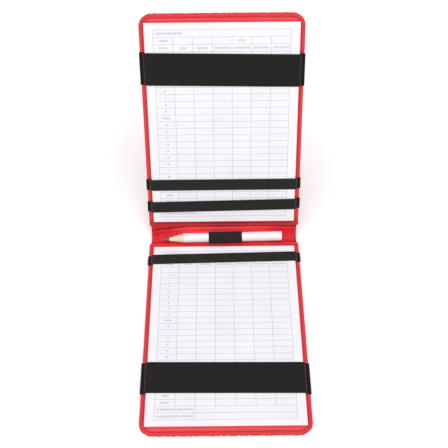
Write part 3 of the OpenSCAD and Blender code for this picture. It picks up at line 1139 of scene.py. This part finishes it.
def add_card(prefix, body, place, face, paper, ink):
    """A folded card: two leaves joined along the left side, ruled on its upper face."""
    w, h, t = card_size
    leaf = 0.46 * t
    rows = 24
    ys = [h / 2 - h * k / rows for k in range(rows + 1)]

    def dip(x, y, z):
        """The upper leaf never lies quite flat: it dips by a few hundredths of a millimetre."""
        free = max(0.0, x / w + 0.3)
        return 0.03 * MM * free * math.sin(y / h * 7 + 1) ** 2 if z > t / 2 else 0

    section = [(-w / 2 + 0.25 * MM, t), (-w / 2 + 0.08 * MM, 0.85 * t), (-w / 2, t / 2),
               (-w / 2 + 0.08 * MM, 0.15 * t), (-w / 2 + 0.25 * MM, 0)]
    xs = [-w / 2 + 0.25 * MM + (w - 0.25 * MM) * k / 20 for k in range(1, 21)]
    ring_xz = ([(x, t) for x in reversed(xs)] + section + [(x, 0.0) for x in xs]
               + [(xs[-1], leaf)]
               + [(x, leaf) for x in reversed(xs[:-1])]
               + [(-w / 2 + 0.45 * MM, t / 2)]
               + [(x, t - leaf) for x in xs])
    points, faces = loft([np.array([(x, y, z - dip(x, y, z)) for x, z in ring_xz])
                          for y in ys])
    own = [((x + w / 2) / MM, (h / 2 - y) / MM, z / MM) for y in ys for x, z in ring_xz]
    count = len(ring_xz)
    slots = [0 if i < count * rows and i % count < len(xs) else 1 for i in range(len(faces))]
    piece = add_piece(f"{prefix}_card", points, faces, [face, paper], place, mm=own,
                      slots=slots, sharp=45)
    give(piece, body, "card_stock", f"{prefix}_scorecard")
    add_numbers(prefix, body, place, ink)


DIGIT_H = 1.55 * MM


def add_numbers(prefix, body, place, ink):
    """The numbers of the 18 rows, in the first column."""
    w, h, t = card_size
    numbers = {row: row - 2 for row in range(3, 12)}
    numbers.update({row: row - 3 for row in range(13, 22)})
    meshes = []
    for row, number in numbers.items():
        text = bpy.data.curves.new("number", "FONT")
        text.body = str(number)
        text.size = DIGIT_H * 1.4
        text.align_x, text.align_y = "CENTER", "CENTER"
        text.extrude = 0.008 * MM
        holder = bpy.data.objects.new("number", text)
        scene.collection.objects.link(holder)
        bpy.context.view_layer.update()
        mesh = bpy.data.meshes.new_from_object(holder.evaluated_get(
            bpy.context.evaluated_depsgraph_get()))
        x = -w / 2 + (CARD_MARGIN_X + CELL_W / 2) * MM
        y = h / 2 - (CARD_MARGIN_Y + CELL_H * (row + 0.5)) * MM
        mesh.transform(Matrix.Translation((x, y, t + 0.004 * MM)))
        meshes.append((np.array([v.co[:] for v in mesh.vertices]),
                       [tuple(p.vertices) for p in mesh.polygons]))
        bpy.data.objects.remove(holder)
        bpy.data.meshes.remove(mesh)
    piece = add_piece(f"{prefix}_card_numbers", *joined(meshes), [ink], place)
    give(piece, body, "card_stock")


# ---------------- pencil
PENCIL_R = 3.5 * MM
LACQUER_T = 0.12 * MM             # thickness of the lacquer
LEAD_R = 1.25 * MM
TIP_R = 0.2 * MM
TIP_DROP = 1.0 * MM               # how far off its axis the pencil was sharpened


def off_centre(points, cone, turn):
    """The pencil was sharpened off its axis: its cone leans towards the lower cover."""
    aim = turn.to_3x3().inverted() @ Vector((0, -1, -1)).normalized()
    share = np.clip(1 - points[:, 0] / cone, 0, 1)[:, None]
    return points + share * TIP_DROP * np.array((0.0, aim.y, aim.z))


def pencil_line():
    """The pencil's tip and its direction towards the blunt end, from the lead's CAD solid."""
    axis = Vector(joints["pencil_slide"]["axis"])
    points = [v.co for v in frame["nodes"]["pencil_lead"].data.vertices]
    along = [p.dot(axis) for p in points]
    first, last = min(along), max(along)
    tip = [p for p, a in zip(points, along) if a < first + 1e-5]
    return mean(tip), axis, last - first


def lathe(profile, sides=96):
    """A turned solid about +X from (distance, radius) points."""
    angles = [2 * math.pi * i / sides for i in range(sides)]
    return loft([np.array([(x, r * math.cos(a), r * math.sin(a)) for a in angles])
                 for x, r in profile])


def lacquer_length():
    """Length of the lacquered stretch along the pencil."""
    axis = Vector(joints["pencil_slide"]["axis"])
    along = [v.co.dot(axis) for v in frame["nodes"]["pencil_lacquer"].data.vertices]
    return max(along) - min(along)


def ragged(points, start):
    """The lacquer's edge beside the cone wavers, where the sharpener cut it."""
    wave = [0.22 * MM * noise.noise(Vector((math.atan2(z, y) * 1.6, 0, 2.0)))
            * max(0.0, 1 - (x - start) / (1.5 * MM)) for x, y, z in points]
    return points + np.outer(wave, (1, 0, 0))


def add_pencil(wood, lacquer, graphite):
    tip, axis, length = pencil_line()
    turn = Matrix.Translation(tip) @ Vector((1, 0, 0)).rotation_difference(axis).to_matrix(
    ).to_4x4()
    cone = length - lacquer_length()
    wood_r = PENCIL_R - LACQUER_T
    rate = (wood_r - TIP_R) / cone
    bare = (LEAD_R - TIP_R) / rate           # length of lead that stands out of the wood

    def add_turned(name, profile, material, cad, slot, moved, sides=96):
        points, faces = lathe(profile, sides)
        piece = add_piece(name, moved(points), faces, [material], turn, mm=points / MM, sharp=50)
        give(piece, "pencil", slot, cad)

    def leaning(points):
        return off_centre(points, cone, turn)

    steps = 14
    casing = [(bare, LEAD_R * 0.96)] + [
        (bare + (cone - bare) * k / steps,
         LEAD_R + (wood_r - LEAD_R) * k / steps
         + 0.03 * MM * math.sin(k * 2.4) * (0 < k < steps))
        for k in range(steps + 1)
    ]
    casing += [(cone + 1.0 * MM, wood_r), (length - 0.3 * MM, wood_r),
               (length, wood_r - 0.2 * MM), (length, LEAD_R), (length - 0.4 * MM, LEAD_R * 0.98)]
    add_turned("pencil_wood_casing", casing, wood, "pencil_casing", "pencil_wood", leaning)

    coat = [
        (cone + 0.35 * MM, wood_r - 0.05 * MM), (cone, wood_r + 0.005 * MM),
        (cone + 0.05 * MM, wood_r + 0.07 * MM), (cone + 0.25 * MM, PENCIL_R - 0.01 * MM),
        (cone + 0.6 * MM, PENCIL_R), (cone + 10 * MM, PENCIL_R), (length - 10 * MM, PENCIL_R),
        (length - 0.9 * MM, PENCIL_R), (length - 0.35 * MM, PENCIL_R - 0.05 * MM),
        (length - 0.08 * MM, PENCIL_R - 0.2 * MM), (length, wood_r - 0.2 * MM),
        (length - 0.4 * MM, wood_r - 0.3 * MM),
    ]
    add_turned("pencil_white_lacquer", coat, lacquer, "pencil_lacquer", "pencil_lacquer",
               lambda points: ragged(points, cone))

    lead = [(0.0, 0.5 * TIP_R), (0.06 * MM, 0.9 * TIP_R), (0.25 * MM, TIP_R * 1.25)]
    lead += [(bare * k / 8, TIP_R + (LEAD_R - TIP_R) * k / 8) for k in range(1, 9)]
    lead += [(cone, LEAD_R * 0.98), (length - 0.1 * MM, LEAD_R), (length, LEAD_R - 0.1 * MM)]
    add_turned("pencil_graphite", lead, graphite, "pencil_lead", "pencil_lead", leaning, 48)


# ---------------- stage
FLOOR_HALF = 4.0
FLOOR_GAP = 0.05 * MM             # keeps the floor clear of the lower cover's face
LIGHT_AIM = Vector((0, 0.05, 0.06))
LIGHT_SIZE = 2.8                  # large and far, so that shadows stay soft
SKY = 0.56


def add_stage(material):
    half = FLOOR_HALF
    mesh = bpy.data.meshes.new("floor")
    mesh.from_pydata([(-half, -half, 0), (half, -half, 0), (half, half, 0), (-half, half, 0)],
                     [], [(0, 1, 2, 3)])
    mesh.materials.append(material)
    floor = bpy.data.objects.new("floor", mesh)
    floor.location.z = -FLOOR_GAP
    scene.collection.objects.link(floor)


def add_light(name, place, power):
    data = bpy.data.lights.new(name, "AREA")
    data.shape = "DISK"
    data.size = LIGHT_SIZE
    data.energy = power
    light = bpy.data.objects.new(name, data)
    light.location = place
    light.rotation_mode = "QUATERNION"
    light.rotation_quaternion = (Vector(place) - LIGHT_AIM).to_track_quat("Z", "Y")
    scene.collection.objects.link(light)


def add_lights():
    world = bpy.data.worlds.new("studio")
    world.use_nodes = True
    sky = world.node_tree.nodes["Background"]
    sky.inputs["Color"].default_value = (1, 1, 1, 1)
    sky.inputs["Strength"].default_value = SKY
    scene.world = world
    add_light("key", (-0.35, -1.20, 2.88), 57)
    add_light("fill", (1.0, -1.8, 2.45), 28)


# ---------------- the holder
add_camera()
add_lights()
add_stage(floor_material())

cover_looks = [leather_material("red_leatherette"), edge_material()]
# The spine's leather: a lighter copy of the covers', with painted shade towards its ends.
spine_looks = [leather_material("red_leatherette_spine_lit_and_shaded", wrinkle=0.5, gloss=0.25)]
thread = thread_material("thread", (0.56, 0.016, 0.028))
# A lighter copy of the thread for the fold seams: painted light on stitches in the shaded strip
# beside the fold.
lit_fold_thread = thread_material("lit_fold_thread", (0.86, 0.060, 0.075))
wide_elastic = elastic_material("wide_elastic", (0.004, 0.004, 0.004), (0.021, 0.021, 0.021), 0.7)
narrow_elastic = elastic_material(
    "narrow_elastic", (0.008, 0.008, 0.007), (0.025, 0.024, 0.022), 0.5)
loop_elastic = elastic_material("loop_elastic", (0.010, 0.007, 0.0075), (0.046, 0.033, 0.034), 0.6)
cut_elastic = elastic_material("cut_elastic", (0.004, 0.004, 0.004), (0.012, 0.012, 0.012), 0.3)
face, paper, ink = print_material(), paper_material(), ink_material()

board = board_material()
# The fourth number is the shade painted on the lining beside the fold.
for prefix, body, place, dark, seed in (
    ("lower", "lower_cover", lower_frame, 0.0, 1.0),
    ("upper", "upper_cover", upper_frame, 0.50, 5.0),
):
    cover_leather(prefix, body, place, dark, seed, cover_looks)
    cover_threads(prefix, body, place, thread, lit_fold_thread)
    board_looks = frame["nodes"][f"{prefix}_board"].data.materials
    board_looks.clear()
    board_looks.append(board)

add_spine(spine_looks, thread)

for name, node, body, place, wide, wider, outwards in (
    ("lower_elastic_wide", "lower_wide_band", "lower_cover", lower_frame, True, 0.6, 0.35),
    ("lower_elastic_narrow", "lower_narrow_band", "lower_cover", lower_frame, False, 1.0, 1.0),
    ("upper_elastic_wide", "upper_wide_band", "upper_cover", upper_frame, True, -0.4, 0.3),
    ("upper_elastic_inner", "upper_inner_band", "upper_cover", upper_frame, False, 0.8, 0.6),
    ("upper_elastic_outer", "upper_outer_band", "upper_cover", upper_frame, False, 0.85, 0.25),
):
    # The last of the weave's three numbers is the shade painted between the ribs.
    weave = (15, 0.22 * MM, 1.0) if wide else (7, 0.06 * MM, 0.4)
    add_band(name, node, body, place, *weave, wider * MM, outwards * MM,
             wide_elastic if wide else narrow_elastic)

add_loop(loop_elastic, thread)

for prefix, place in (("lower", Matrix.Identity(4)), ("upper", upper_frame)):
    add_card(prefix, f"{prefix}_card", card_place(prefix, place), face, paper, ink)
add_pencil(wood_material(), lacquer_material(), graphite_material())

scene.view_settings.view_transform = "Standard"
scene.view_settings.look = "None"
